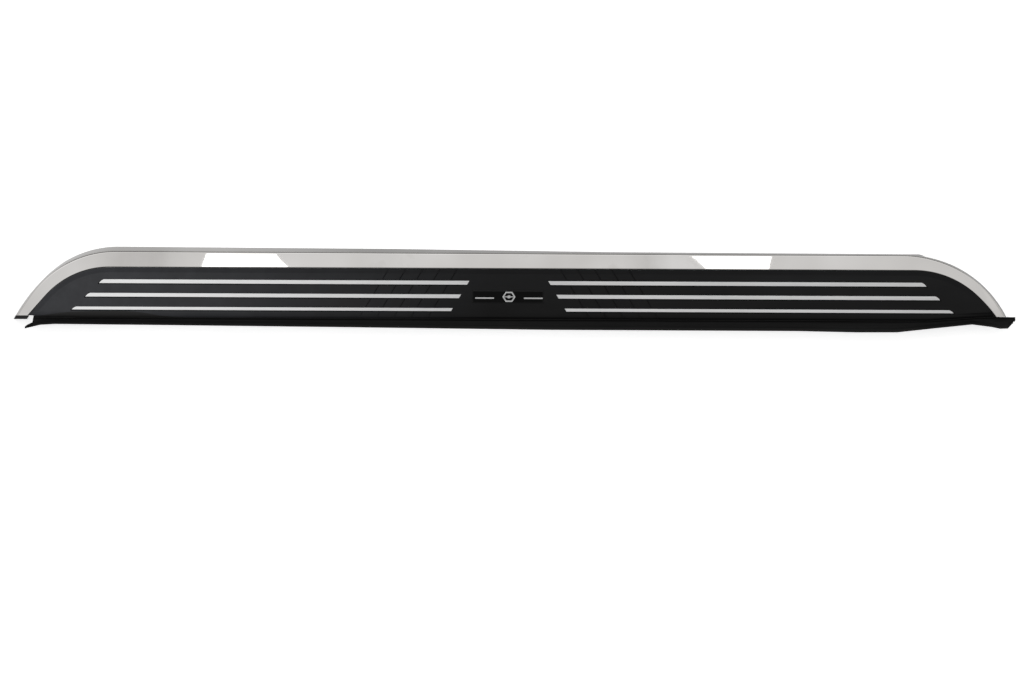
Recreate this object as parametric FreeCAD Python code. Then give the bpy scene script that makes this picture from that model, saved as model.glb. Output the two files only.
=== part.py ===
import FreeCAD, Part
import math
import os

# Running board for one side of a vehicle, in millimetres.
# +X runs along the board, +Y points away from the vehicle, +Z is up. The origin is the centre of the
# board's plan box, on the surface that the board stands on.

V = FreeCAD.Vector
os.makedirs("parts", exist_ok=True)

# ---- driving dimensions ---------------------------------------------------------------------------

# Plan curves of the outer side. Each has a straight run and a curve to each tip. A tip curve is the
# place where it leaves the straight run, then its stretches as (radius, sweep in degrees). The last
# stretch runs on to the tip's cut. FOLD stands for a short straight stretch after a fold in the skirt.
FOLD = "fold"
FOLD_TURN = 16.4
FOLD_RUN = 37.5
BAND_Y = 39.5
BAND_EDGE = {"left": ((-769.0, BAND_Y), (163.6, 24.0), (163.6, 24.1), (2000.0, None)),
             "right": ((759.7, BAND_Y), (176.7, 14.0), (176.7, 29.5), (293.9, None))}
RIDGE = {"left": ((-757.3, 70.2), (198.5, 26.0), (198.5, 27.3), (628.3, None)),
         "right": ((737.4, 68.6), (227.3, 14.0), (227.3, 20.0), (212.3, None))}
SKIRT_FOOT = {"left": ((-752.7, 78.8), (196.0, 22.0), (196.0, 22.0), (340.6, None)),
              "right": ((771.0, 70.6), (FOLD, None), (211.8, 22.0), (211.8, None))}
# the skirt leans out less from the first of these places to the second
TAPER_X = (-217.0, 180.0)
SKIRT_TAPER_Y = (76.6, 72.2)
TIP_CUT_Y = {"left": -53.0, "right": -48.0}

# heights
TREAD_TOP = 40.0
BAND_TOP = 43.0
RIDGE_TOP = 37.5
CORE_TOP = 36.0
SEAT = 22.0
TREAD_UNDER = CORE_TOP + 0.2

# aluminium core
CORE_X = (-765.0, 755.0)
CORE_INNER_Y = -49.0
CORE_OUTER_Y = 40.7
TOP_WALL = 2.5
LEG_WALL = 2.8
BOX_WALL = 2.5
SLOT_CENTRE_Y = -4.0
SLOT_HALF = 17.5
MOUTH_HALF = 6.0
SLOT_LIP = 3.0
FOOT = 8.0
LEDGE_Z = (4.4, 7.0)
SEAL_SLOT_Z = (24.0, 32.0)
SEAL_MOUTH_Z = (26.0, 30.0)
SEAL_SLOT_DEPTH = 8.0
SEAL_WALL = 2.4

# inner edges of the end supports and of the tread: (x, y) places, straight between them
ROOT_LINE = ((-921.0, -52.9), (-850.0, -49.0), (790.0, -49.0), (880.0, -42.5), (910.0, -46.0))
TREAD_LINE = ((-921.0, -54.5), (-850.0, -56.0), (785.0, -56.0), (880.0, -49.3), (910.0, -47.6))
# a place on that line this near to a tip is left out of the plan outline there
TIP_MARGIN = 3.0

# tread and what is let into it
ROLL_WIDE = 12.0
ROLL_DEEP = 6.0
ROLL_STEPS = 6
LIP_WIDE = 1.4
LIP_DEEP = 1.7
TREAD_SCREW_COVER = 1.6
RIM_WIDTH = 10.0
RIM_RISE = 2.8
TREAD_CENTRE_X = -10.5
STRIP_ROWS = (("outer", 16.2, 7.6), ("middle", -9.7, 7.4), ("inner", -35.8, 6.0))
STRIP_PITCH = 26.0
STRIP_GAP_HALF = 75.0
STRIP_TIP = {"left": -789.0, "right": 783.0}
STRIP_NOSE = 9.5
STRIP_THICK = 3.2
STRIP_PROUD = 0.7
# the strip's pocket is wider on its inner side and longer at its point than elsewhere
POCKET_GAP = 0.3
POCKET_LOW_GAP = 1.5
POCKET_NOSE_GAP = 2.4
SLANT = math.tan(math.radians(31.0))
CUTS = 5
CUT_FIRST = 98.0
CUT_PITCH = 32.5
CUT_WIDTH = 1.7
CUT_DEPTH = 0.9
CUT_MARGIN = 1.2
# how many of the roll's steps a cut follows down
CUT_ROLL_STEPS = 4
BADGE_SIZE = (135.0, 23.5)
BADGE_CENTRE = (-12.0, -14.0)
BADGE_THICK = 1.4
BADGE_SUNK = 0.4
BADGE_BEVEL = (0.9, 0.4)
BADGE_CLEAR = 0.2
BAR_SIZE = (35.6, 2.8)
BAR_HIGH = 0.7
BAR_EASE = 0.3
BAR_OFFSET_X = 46.3
BAR_Y = -16.6
EMBLEM_CENTRE = (-10.1, -14.0)
EMBLEM_HALF = (12.4, 9.6)
EMBLEM_RING = 2.6
EMBLEM_HIGH = 0.9

# stainless trim and the carrier behind it
TRIM_THICK = 1.2
CARRIER_WALL = 3.0
CARRIER_GAP = 0.3
CARRIER_HEM = 1.6
CARRIER_TOE = 0.9

# sliding stud plates
PLATE_SIZE = (80.0, 33.0, 6.0)
PLATE_GAP = 0.2
PLATE_STATIONS = (-572.75, -194.25, 184.25, 562.75)
STUD_RADIUS = 4.0
KNURL_RADIUS = 4.3
STUD_SPACING = 50.0
STUD_LOW = 4.0
STUD_HEAD = (7.0, 1.6)

# moulded end supports
SUPPORT_WALL = 3.0
SUPPORT_GAP = 0.3
SUPPORT_INSET = 1.6

# fasteners: (head radius, head height, shank radius)
TAPPING_SCREW = (3.6, 2.0, 1.8)
TONGUE_SCREW = (4.2, 2.4, 2.3)
TREAD_SCREW_X = (-700.0, -425.0, -150.0, 130.0, 405.0, 680.0)
TROUGH_Y = (-31.0, 27.0)
END_TREAD_SCREW = ((-850.0, -12.0), (845.0, -12.0))
TRIM_SCREW_X = (-720.0, -510.0, -300.0, -90.0, 120.0, 330.0, 540.0, 715.0)
TRIM_SCREW_Y = 36.0
CARRIER_SCREW_X = (-640.0, -380.0, -120.0, 140.0, 400.0, 640.0)
CARRIER_SCREW_Z = 18.0
TONGUE_LONG = 35.0
TONGUE_Z = (28.3, 33.3)
TONGUE_SPANS = ((-37.8, -24.6), (16.8, 37.2))
TONGUE_SCREW_INSET = 18.0


# ---- helpers ----------------------------------------------------------------------------------------

def box(x0, x1, y0, y1, z0, z1):
    return Part.makeBox(x1 - x0, y1 - y0, z1 - z0, V(x0, y0, z0))


def prism(points, direction):
    """Solid swept from the flat polygon through points, along direction."""
    corners = [V(*p) for p in points]
    return Part.Face(Part.makePolygon(corners + corners[:1])).extrude(V(*direction))


def plan_prism(points, z0, z1):
    return prism([(x, y, z0) for x, y in points], (0, 0, z1 - z0))


def section_prism(points, x0, x1):
    """Solid of one cross-section, given as (y, z) points, from x0 to x1."""
    return prism([(x0, y, z) for y, z in points], (x1 - x0, 0, 0))


def loft_sections(stations):
    """Solid through cross-sections that each stand across the board: (x, [(y, z), ...]) in order of x."""
    wires = []
    for x, points in stations:
        corners = [V(x, y, z) for y, z in points]
        wires.append(Part.makePolygon(corners + corners[:1]))
    return Part.makeLoft(wires, True, True)


def line_y(line, x):
    """Y of an inner edge line at x."""
    for (xa, ya), (xb, yb) in zip(line, line[1:]):
        if x <= xb:
            return ya + (yb - ya) * (max(x, xa) - xa) / (xb - xa)
    return line[-1][1]


def along(line, points, x0, x1):
    """Solid that follows an inner edge line. Points are (distance towards the vehicle, z)."""
    places = [x0] + [x for x, _ in line if x0 < x < x1] + [x1]
    return loft_sections([(x, [(line_y(line, x) - u, z) for u, z in points]) for x in places])


def fused(shapes):
    return shapes[0].multiFuse(shapes[1:]).removeSplitter()


def save(name, shapes):
    """Writes one node: a single solid, or a group of separate ones."""
    shape = shapes if isinstance(shapes, Part.Shape) else Part.makeCompound(shapes)
    if not shape.isValid() or not shape.Solids:
        raise ValueError(name + " is not a sound solid")
    shape.exportStep("parts/" + name + ".step")


# ---- plan curves ------------------------------------------------------------------------------------

def polar(centre, radius, angle):
    """Point at an angle measured from +Y towards +X."""
    return centre + V(math.sin(angle), math.cos(angle), 0) * radius


def tip_edges(curve, side, inset, z):
    """Edges from the straight run to the tip's cut, moved inset towards the board."""
    (x0, y0), *stretches = curve[side]
    sign = 1 if side == "right" else -1
    point = V(x0 * sign, y0 - inset, 0)
    turned = 0.0
    edges = []
    for radius, sweep in stretches:
        if radius is FOLD:
            turned = math.radians(FOLD_TURN)
            run = V(math.cos(turned), -math.sin(turned), 0) * FOLD_RUN
            end = V(x0 * sign, y0, 0) + run - polar(V(), inset, turned)
            point.x -= inset * math.tan(turned / 2)
            middle = (point + end) * 0.5
        else:
            centre = point - polar(V(), radius - inset, turned)
            if sweep is None:
                final = math.acos((TIP_CUT_Y[side] - centre.y) / (radius - inset))
            else:
                final = turned + math.radians(sweep)
            middle = polar(centre, radius - inset, (turned + final) / 2)
            end = polar(centre, radius - inset, final)
            turned = final
        places = [V(p.x * sign, p.y, z) for p in (point, middle, end)]
        line = Part.LineSegment(places[0], places[2]) if radius is FOLD else Part.Arc(*places)
        edges.append(line.toShape())
        point = end
    return edges


def rail(curve, inset, z):
    """Plan curve from the left tip to the right, as edges in step with those of every other rail."""
    left = tip_edges(curve, "left", inset, z)
    right = tip_edges(curve, "right", inset, z)
    ends = (left[0].firstVertex().Point, right[0].firstVertex().Point)
    knots = [ends[0]]
    for x, skirt_y in zip(TAPER_X, SKIRT_TAPER_Y):
        straight_y = ends[0].y + (ends[1].y - ends[0].y) * (x - ends[0].x) / (ends[1].x - ends[0].x)
        knots.append(V(x, skirt_y - inset if curve is SKIRT_FOOT else straight_y, z))
    knots.append(ends[1])
    run = [Part.LineSegment(a, b).toShape() for a, b in zip(knots, knots[1:])]
    return left[::-1] + run + right


def rail_end(curve, inset, z, side):
    return tip_edges(curve, side, inset, z)[-1].lastVertex().Point


def between_rails(profile):
    """Solid whose cross-section's corners run along plan curves: (curve, inset, z) for each corner."""
    rails = [rail(*corner) for corner in profile]
    faces = []
    for one, other in zip(rails, rails[1:] + rails[:1]):
        faces += [Part.makeRuledSurface(a, b) for a, b in zip(one, other)]
    for side in ("left", "right"):
        corners = [rail_end(*corner, side) for corner in profile]
        faces.append(Part.Face(Part.makePolygon(corners + corners[:1])))
    skin = Part.makeCompound(faces)
    skin.sewShape()
    solid = Part.makeSolid(skin.Shells[0])
    return solid if solid.Volume > 0 else solid.reversed()


def plan_outline(inset, inner_line, z):
    """Face between the band's edge and an inner edge line, from tip to tip."""
    edges = rail(BAND_EDGE, inset, z)
    left = rail_end(BAND_EDGE, inset, z, "left")
    right = rail_end(BAND_EDGE, inset, z, "right")
    low, high = left.x + TIP_MARGIN, right.x - TIP_MARGIN
    line = [left] + [V(x, y, z) for x, y in inner_line if low < x < high] + [right]
    edges += [Part.LineSegment(a, b).toShape() for a, b in zip(line, line[1:])]
    return Part.Face(Part.Wire(Part.__sortEdges__(edges)))


# ---- fasteners --------------------------------------------------------------------------------------

def screw(place, direction, kind, length):
    """Pan-head screw: place is where the head seats, direction is the way the shank points."""
    head_radius, head_height, shank_radius = kind
    axis = V(*direction)
    seat = V(*place)
    head = Part.makeCylinder(head_radius, head_height, seat - axis * head_height, axis)
    rim = [e for e in head.Edges if e.Length > head_radius and (e.CenterOfMass - seat).Length > 1]
    head = head.makeFillet(head_height * 0.45, [e for e in rim if len(e.Vertexes) == 1])
    socket = Part.makeCylinder(head_radius * 0.38, head_height * 0.6, seat - axis * head_height, axis)
    shank = Part.makeCylinder(shank_radius, length, seat, axis)
    return head.cut(socket).fuse(shank).removeSplitter()


def screw_hole(place, direction, kind, length):
    return Part.makeCylinder(kind[2], length + 0.5, V(*place), V(*direction))


def tread_screw_places():
    places = [(x, y, CORE_TOP - TOP_WALL) for x in TREAD_SCREW_X for y in TROUGH_Y]
    return places + [(x, y, CORE_TOP - 3.0) for x, y in END_TREAD_SCREW]


TREAD_SCREW = [(p, (0, 0, 1), TAPPING_SCREW, TREAD_TOP - TREAD_SCREW_COVER - p[2]) for p in tread_screw_places()]
TRIM_SCREW = [((x, TRIM_SCREW_Y, 3.0), (0, 0, 1), TAPPING_SCREW, 6.0) for x in TRIM_SCREW_X]
CARRIER_SCREW = [((x, CORE_OUTER_Y - LEG_WALL, CARRIER_SCREW_Z), (0, 1, 0), TAPPING_SCREW, 8.0)
                 for x in CARRIER_SCREW_X]
TONGUE_SCREW_X = (CORE_X[0] + TONGUE_SCREW_INSET, CORE_X[1] - TONGUE_SCREW_INSET)
SUPPORT_SCREW = [((x, y, TONGUE_Z[0]), (0, 0, 1), TONGUE_SCREW, CORE_TOP - TONGUE_Z[0] - 0.2)
                 for x in TONGUE_SCREW_X for y in TROUGH_Y]
ALL_SCREWS = TREAD_SCREW + TRIM_SCREW + CARRIER_SCREW + SUPPORT_SCREW


def drilled(shape):
    """The shape with a hole for every screw that enters it."""
    holes = [screw_hole(*s) for s in ALL_SCREWS]
    holes = [h for h in holes if h.BoundBox.intersect(shape.BoundBox)]
    return shape.cut(Part.makeCompound(holes)) if holes else shape


# ---- structure --------------------------------------------------------------------------------------

def core_beam():
    """Extruded beam: a top wall, two legs, a T-slot for the stud plates and a slot for the seal."""
    under = CORE_TOP - TOP_WALL
    box_y = (SLOT_CENTRE_Y - SLOT_HALF - BOX_WALL, SLOT_CENTRE_Y + SLOT_HALF + BOX_WALL)
    slot_y = (SLOT_CENTRE_Y - SLOT_HALF, SLOT_CENTRE_Y + SLOT_HALF)
    mouth_y = (SLOT_CENTRE_Y - MOUTH_HALF, SLOT_CENTRE_Y + MOUTH_HALF)
    lip_top = SEAT + SLOT_LIP
    outer_leg = CORE_OUTER_Y - LEG_WALL
    inner_leg = CORE_INNER_Y + LEG_WALL
    channel = CORE_INNER_Y + SEAL_SLOT_DEPTH + SEAL_WALL
    cavity = (CORE_INNER_Y + 2.0, CORE_INNER_Y + SEAL_SLOT_DEPTH)
    section = [
        (CORE_INNER_Y, CORE_TOP), (CORE_OUTER_Y, CORE_TOP), (CORE_OUTER_Y, LEDGE_Z[0]),
        (outer_leg - 7.0, LEDGE_Z[0]), (outer_leg - 7.0, LEDGE_Z[1]), (outer_leg, LEDGE_Z[1]),
        (outer_leg, under), (box_y[1], under), (box_y[1], SEAT), (mouth_y[1], SEAT),
        (mouth_y[1], lip_top), (slot_y[1], lip_top), (slot_y[1], under), (slot_y[0], under),
        (slot_y[0], lip_top), (mouth_y[0], lip_top), (mouth_y[0], SEAT), (box_y[0], SEAT),
        (box_y[0], under), (channel, under), (channel, SEAL_SLOT_Z[0] - SEAL_WALL),
        (inner_leg, SEAL_SLOT_Z[0] - SEAL_WALL), (inner_leg, LEG_WALL), (CORE_INNER_Y + FOOT, LEG_WALL),
        (CORE_INNER_Y + FOOT, 0), (CORE_INNER_Y, 0), (CORE_INNER_Y, SEAL_MOUTH_Z[0]),
        (cavity[0], SEAL_MOUTH_Z[0]), (cavity[0], SEAL_SLOT_Z[0]), (cavity[1], SEAL_SLOT_Z[0]),
        (cavity[1], SEAL_SLOT_Z[1]), (cavity[0], SEAL_SLOT_Z[1]), (cavity[0], SEAL_MOUTH_Z[1]),
        (CORE_INNER_Y, SEAL_MOUTH_Z[1]),
    ]
    return drilled(section_prism(section, *CORE_X))


def seal_slot():
    """Space that the seal's root needs in an end support."""
    points = [(1.0, SEAL_MOUTH_Z[0]), (1.0, SEAL_MOUTH_Z[1]), (-2.0, SEAL_MOUTH_Z[1]),
              (-2.0, SEAL_SLOT_Z[1]), (-SEAL_SLOT_DEPTH, SEAL_SLOT_Z[1]),
              (-SEAL_SLOT_DEPTH, SEAL_SLOT_Z[0]),
              (-2.0, SEAL_SLOT_Z[0]), (-2.0, SEAL_MOUTH_Z[0])]
    return along(ROOT_LINE, points, ROOT_LINE[0][0] + 10, ROOT_LINE[-1][0] - 10)


def end_support(side):
    """Moulded end block: a top wall on a closed skirt wall and ribs, with tongues into the core."""
    wall = SUPPORT_WALL
    low = LEDGE_Z[0] + 0.2
    face_x = CORE_X[0] - SUPPORT_GAP if side == "left" else CORE_X[1] + SUPPORT_GAP
    far_x = -1000.0 if side == "left" else 1000.0
    sign = -1 if side == "left" else 1
    keep = box(min(face_x, far_x), max(face_x, far_x), -100, 100, -10, 60)
    outline = plan_outline(SUPPORT_INSET, ROOT_LINE, low).extrude(V(0, 0, CORE_TOP - low)).common(keep)
    inner = plan_outline(SUPPORT_INSET + wall, ROOT_LINE, low).extrude(V(0, 0, CORE_TOP - wall - low))
    inner_x = face_x + sign * wall
    pocket = inner.common(box(min(inner_x, far_x), max(inner_x, far_x), -100, 100, -10, 60))
    behind = -SEAL_SLOT_DEPTH - wall
    beside_seal = [(behind, -10.0), (60.0, -10.0), (60.0, 60.0), (behind, 60.0)]
    seal_side = along(ROOT_LINE, beside_seal, -950.0, 950.0)
    body = outline.cut(pocket.cut(seal_side))
    ribs = [box(x - 1.25, x + 1.25, -100, 100, low + 2, CORE_TOP - 1)
            for x in (face_x + sign * 35, face_x + sign * 70, face_x + sign * 105)]
    rib_along = box(min(face_x, far_x), max(face_x, far_x), -8, -5.5, low + 2, CORE_TOP - 1)
    ribs = [rib.common(outline) for rib in ribs + [rib_along]]
    tongues = []
    for y0, y1 in TONGUE_SPANS:
        reach = face_x - sign * TONGUE_LONG
        inside = face_x + sign * wall
        tongues.append(box(min(reach, inside), max(reach, inside), y0, y1, *TONGUE_Z))
    body = fused([body] + ribs + tongues).cut(seal_slot())
    return drilled(body)


# ---- tread ------------------------------------------------------------------------------------------

def strip_outline(row, side, grow=0.0, grow_low=0.0, grow_nose=0.0):
    """Plan outline of an inlay strip: slanted at its inner end and a rounded point at its outer end."""
    _, top, width = STRIP_ROWS[row]
    sign = 1 if side == "right" else -1
    high = top + grow
    low = top - width - grow_low
    inner_high = TREAD_CENTRE_X + sign * (STRIP_GAP_HALF + (STRIP_ROWS[0][1] - high) * SLANT - grow)
    inner_low = TREAD_CENTRE_X + sign * (STRIP_GAP_HALF + (STRIP_ROWS[0][1] - low) * SLANT - grow)
    tip = STRIP_TIP[side] + sign * (row * STRIP_PITCH + grow_nose)
    shoulder = V(tip - sign * STRIP_NOSE, high, 0)
    nose = V(tip - sign * STRIP_NOSE * 0.32, low + (high - low) * 0.52, 0)
    end = V(tip, low, 0)
    edges = [Part.LineSegment(V(inner_low, low, 0), V(inner_high, high, 0)),
             Part.LineSegment(V(inner_high, high, 0), shoulder), Part.Arc(shoulder, nose, end),
             Part.LineSegment(end, V(inner_low, low, 0))]
    return Part.Face(Part.Wire([e.toShape() for e in edges]))


def inlay_strip(row, side):
    """Aluminium strip, let into the tread and standing a little proud, with eased upper edges."""
    top = TREAD_TOP + STRIP_PROUD
    solid = strip_outline(row, side).extrude(V(0, 0, STRIP_THICK))
    solid.translate(V(0, 0, top - STRIP_THICK))
    rim = [e for e in solid.Edges if e.BoundBox.ZMin > top - 0.01 and e.Length > 20]
    return solid.makeFillet(0.5, rim)


def strip_pocket(row, side):
    pocket = strip_outline(row, side, POCKET_GAP, POCKET_LOW_GAP, POCKET_NOSE_GAP).extrude(V(0, 0, 10))
    pocket.translate(V(0, 0, TREAD_TOP + STRIP_PROUD - STRIP_THICK))
    return pocket


def tread_roll():
    """Rounded inner edge of the tread, as (distance beyond its inner edge line, z) points."""
    angles = [math.pi / 2 * i / ROLL_STEPS for i in range(ROLL_STEPS + 1)]
    return [(-ROLL_WIDE * (1 - math.sin(a)), TREAD_TOP - ROLL_DEEP * (1 - math.cos(a))) for a in angles]


def slant_cut(side, index):
    """Narrow V-shaped cut slanting across the tread, which follows its surface."""
    sign = 1 if side == "right" else -1
    start = TREAD_CENTRE_X + sign * (CUT_FIRST + index * CUT_PITCH)
    top_y = BAND_Y - CUT_MARGIN
    edge_y = line_y(TREAD_LINE, start)
    roll = [(edge_y - u, z) for u, z in tread_roll()[:CUT_ROLL_STEPS + 1]]
    surface = [(top_y, TREAD_TOP + RIM_RISE), (BAND_Y - RIM_WIDTH, TREAD_TOP)] + roll
    above = CUT_DEPTH
    half = CUT_WIDTH / 2 * (CUT_DEPTH + above) / CUT_DEPTH
    sections = []
    for y, z in surface:
        x = start + sign * (top_y - y) * SLANT
        corners = [V(x - half, y, z + above), V(x + half, y, z + above), V(x, y, z - CUT_DEPTH)]
        sections.append(Part.makePolygon(corners + corners[:1]))
    return Part.makeLoft(sections, True, True)


def tread_cover():
    """Moulded cover: flat tread, rim that rises to the bright band, and a rounded inner edge."""
    low = TREAD_UNDER - LIP_DEEP
    blank = plan_outline(0.4, TREAD_LINE, low).extrude(V(0, 0, BAND_TOP - low))
    plate = blank.common(box(-1000, 1000, -100, 100, TREAD_UNDER, TREAD_TOP))
    rim = between_rails([
        (BAND_EDGE, 0.2, TREAD_TOP - 1.0), (BAND_EDGE, 0.2, TREAD_TOP + RIM_RISE),
        (BAND_EDGE, 1.6, TREAD_TOP + RIM_RISE), (BAND_EDGE, RIM_WIDTH, TREAD_TOP),
        (BAND_EDGE, RIM_WIDTH, TREAD_TOP - 1.0)])
    cover = plate.fuse(rim.common(blank))
    ends = (TREAD_LINE[0][0], TREAD_LINE[-1][0])
    lip = along(TREAD_LINE, [(-LIP_WIDE, low), (0, low), (0, TREAD_TOP - 1.0), (-LIP_WIDE, TREAD_TOP - 1.0)],
                ends[0] + TIP_MARGIN, ends[1] - TIP_MARGIN)
    cover = cover.fuse(lip.common(blank))
    roll = tread_roll()
    above = BAND_TOP + 5
    waste = along(TREAD_LINE, roll + [(12.0, roll[-1][1]), (12.0, above), (roll[0][0], above)],
                  ends[0] - 20, ends[1] + 20)
    cover = cover.cut(waste)
    sides = ("left", "right")
    cutters = [strip_pocket(row, side) for row in range(len(STRIP_ROWS)) for side in sides]
    cutters += [slant_cut(side, i) for side in sides for i in range(CUTS)]
    half_x, half_y = (size / 2 + BADGE_CLEAR for size in BADGE_SIZE)
    cx, cy = BADGE_CENTRE
    cutters.append(box(cx - half_x, cx + half_x, cy - half_y, cy + half_y, badge_floor(), 50))
    return drilled(cover.cut(Part.makeCompound(cutters)).removeSplitter())


# ---- badge ------------------------------------------------------------------------------------------

def badge_top():
    return TREAD_TOP - BADGE_SUNK


def badge_floor():
    return badge_top() - BADGE_THICK


def badge_outline(inset, z):
    cx, cy = BADGE_CENTRE
    half_x, half_y = (size / 2 - inset for size in BADGE_SIZE)
    corners = [V(cx + sx * half_x, cy + sy * half_y, z) for sx, sy in ((-1, -1), (1, -1), (1, 1), (-1, 1))]
    return Part.makePolygon(corners + corners[:1])


def badge_plate():
    """Gloss plate sunk a little below the tread, with a shallow bevel round its upper face."""
    inset, drop = BADGE_BEVEL
    sections = [badge_outline(0, badge_floor()), badge_outline(0, badge_top() - drop),
                badge_outline(inset, badge_top())]
    return Part.makeLoft(sections, True, True)


def badge_bar(side):
    centre_x = EMBLEM_CENTRE[0] + (BAR_OFFSET_X if side == "right" else -BAR_OFFSET_X)
    bar = box(centre_x - BAR_SIZE[0] / 2, centre_x + BAR_SIZE[0] / 2, BAR_Y - BAR_SIZE[1] / 2,
              BAR_Y + BAR_SIZE[1] / 2, badge_top(), badge_top() + BAR_HIGH)
    rim = [e for e in bar.Edges if e.BoundBox.ZMin > badge_top() + BAR_HIGH / 2]
    return bar.makeFillet(BAR_EASE, rim)


def hexagon(inset, z0, z1):
    """Prism of the emblem's long hexagon, drawn in by inset."""
    cx, cy = EMBLEM_CENTRE
    half_x, half_y = (half - inset for half in EMBLEM_HALF)
    flat_x = half_x / 2
    corners = ((half_x, 0), (flat_x, half_y), (-flat_x, half_y), (-half_x, 0), (-flat_x, -half_y),
               (flat_x, -half_y))
    return plan_prism([(cx + x, cy + y) for x, y in corners], z0, z1)


def badge_emblem():
    """Plain long hexagonal ring round a small dome, on one thin backing bar."""
    z0 = badge_top()
    z1 = z0 + EMBLEM_HIGH
    ring = hexagon(0, z0, z1).cut(hexagon(EMBLEM_RING, z0 - 1, z1 + 1))
    cx, cy = EMBLEM_CENTRE
    dome = Part.makeCone(3.4, 2.4, EMBLEM_HIGH, V(cx, cy, z0), V(0, 0, 1))
    reach = EMBLEM_HALF[0] - EMBLEM_RING
    bridge = box(cx - reach - 0.5, cx + reach + 0.5, cy - 0.8, cy + 0.8, z0, z0 + EMBLEM_HIGH / 2)
    return fused([ring, dome, bridge])


# ---- bright trim ------------------------------------------------------------------------------------

def outer_trim():
    """Folded stainless sheet: hem, sloping band, ridge, leaning skirt, foot bend and fixing flange."""
    t = TRIM_THICK
    outside = [
        (BAND_EDGE, 0.0, 39.0), (BAND_EDGE, 0.0, BAND_TOP - 0.5), (BAND_EDGE, -0.6, BAND_TOP),
        (RIDGE, 4.5, RIDGE_TOP + 0.9), (RIDGE, 2.5, RIDGE_TOP + 0.25), (RIDGE, 0.9, RIDGE_TOP - 0.8),
        (RIDGE, -0.3, RIDGE_TOP - 2.4),
        (SKIRT_FOOT, 0.0, 3.6), (SKIRT_FOOT, 0.7, 1.4), (SKIRT_FOOT, 2.4, 0.0), (SKIRT_FOOT, 6.6, 0.0),
        (SKIRT_FOOT, 11.6, 3.0), (BAND_EDGE, 7.6, 3.0)]
    inside = [
        (BAND_EDGE, 7.6, 3.0 + t), (SKIRT_FOOT, 12.0, 3.0 + t), (SKIRT_FOOT, 7.0, t),
        (SKIRT_FOOT, 3.0, t), (SKIRT_FOOT, 1.9, 2.0), (SKIRT_FOOT, t, 3.8),
        (RIDGE, 0.9, RIDGE_TOP - 2.9), (RIDGE, 1.9, RIDGE_TOP - 1.7), (RIDGE, 3.2, RIDGE_TOP - 0.95),
        (RIDGE, 4.6, RIDGE_TOP - 0.35),
        (BAND_EDGE, -t, BAND_TOP - t - 0.15), (BAND_EDGE, -t, 39.0)]
    return drilled(between_rails(outside + inside))


def trim_carrier():
    """Moulded channel that backs the band and the skirt, and screws to the core's outer leg."""
    wall = CARRIER_WALL
    skin = TRIM_THICK + CARRIER_GAP
    profile = [
        (BAND_EDGE, -CARRIER_HEM, 10.0), (BAND_EDGE, -CARRIER_HEM, BAND_TOP - skin - 0.4),
        (RIDGE, skin + 1.2, RIDGE_TOP - skin - 0.2), (RIDGE, skin, RIDGE_TOP - 2.6),
        (SKIRT_FOOT, skin + CARRIER_TOE, 6.0), (SKIRT_FOOT, skin + CARRIER_TOE + wall, 6.0),
        (RIDGE, skin + wall + 0.2, RIDGE_TOP - skin - wall - 0.2),
        (BAND_EDGE, -CARRIER_HEM - wall, BAND_TOP - skin - wall - 0.8),
        (BAND_EDGE, -CARRIER_HEM - wall, 10.0)]
    return drilled(between_rails(profile))


def trim_end_cap(side):
    """Black cap that closes the cut end of the trim. The right-hand one stops short under the seal."""
    full = side == "left"
    gap = -0.2
    top = 0.0 if full else -17.0
    lead = V(-4.0, -7.0, 0) if full else V(2.0, -3.2, 0)
    corners = [(BAND_EDGE, 1.5, BAND_TOP + top - 0.1), (BAND_EDGE, -0.6, BAND_TOP + top),
               (RIDGE, 4.5, RIDGE_TOP + 0.9 + top), (RIDGE, 1.3, RIDGE_TOP - 0.7 + top),
               (RIDGE, 0.0, RIDGE_TOP - 2.4 + top),
               (SKIRT_FOOT, 0.2, 3.6), (SKIRT_FOOT, 2.4, 0.8), (BAND_EDGE, 1.5, 0.8)]
    points = [rail_end(*corner, side) + V(0, gap, 0) for corner in corners]
    face = Part.Face(Part.makePolygon(points + points[:1]))
    return face.extrude(lead)


# ---- seal -------------------------------------------------------------------------------------------

# (x, line where the flap leaves the board, free edge, how far it reaches behind that line, rise)
FLAP_STATIONS = (
    (-930.0, -74.6, -78.2, 0.0, 0.30), (-925.5, -71.0, -77.0, 0.0, 0.35), (-915.5, -66.0, -74.8, 0.0, 0.45),
    (-913.5, -56.6, -74.2, 0.0, 0.60), (-900.0, -56.6, -71.0, 4.3, 0.85), (-872.0, -57.0, -69.4, 6.2, 1.0),
    (-692.0, -57.0, -70.4, 7.7, 1.0), (-300.0, -57.0, -73.3, 7.7, 1.0), (68.0, -57.0, -76.5, 7.7, 1.0),
    (540.0, -57.0, -76.8, 7.7, 1.0), (650.0, -57.0, -78.8, 7.7, 1.0), (728.0, -57.0, -78.4, 7.7, 1.0),
    (790.0, -56.8, -71.4, 7.5, 0.95), (870.0, -51.0, -62.8, 7.4, 0.85), (880.0, -50.3, -64.0, 7.2, 0.84),
    (908.0, -48.9, -67.6, 1.0, 0.80), (923.0, -48.3, -70.6, 0.0, 0.75), (938.0, -48.3, -70.2, 0.0, 0.70),
    (945.0, -48.3, -62.5, 0.0, 0.66), (952.4, -48.3, -54.5, 0.0, 0.62))
FLAP_TOP = ((0.0, 33.8), (0.11, 31.7), (0.42, 33.0), (0.76, 38.5), (0.95, 46.0))
FLAP_UNDER = ((1.0, 45.0), (0.83, 36.0), (0.45, 30.2), (0.10, 28.5))
FLAP_LEVEL = 33.0


def flap_section(inner, edge, tuck, rise):
    width = inner - edge
    points = [(inner - f * width, z) for f, z in FLAP_TOP + FLAP_UNDER]
    points += [(inner + tuck, 25.5), (inner + tuck, 33.4)]
    return [(y, FLAP_LEVEL + (z - FLAP_LEVEL) * rise) for y, z in points]


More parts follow.
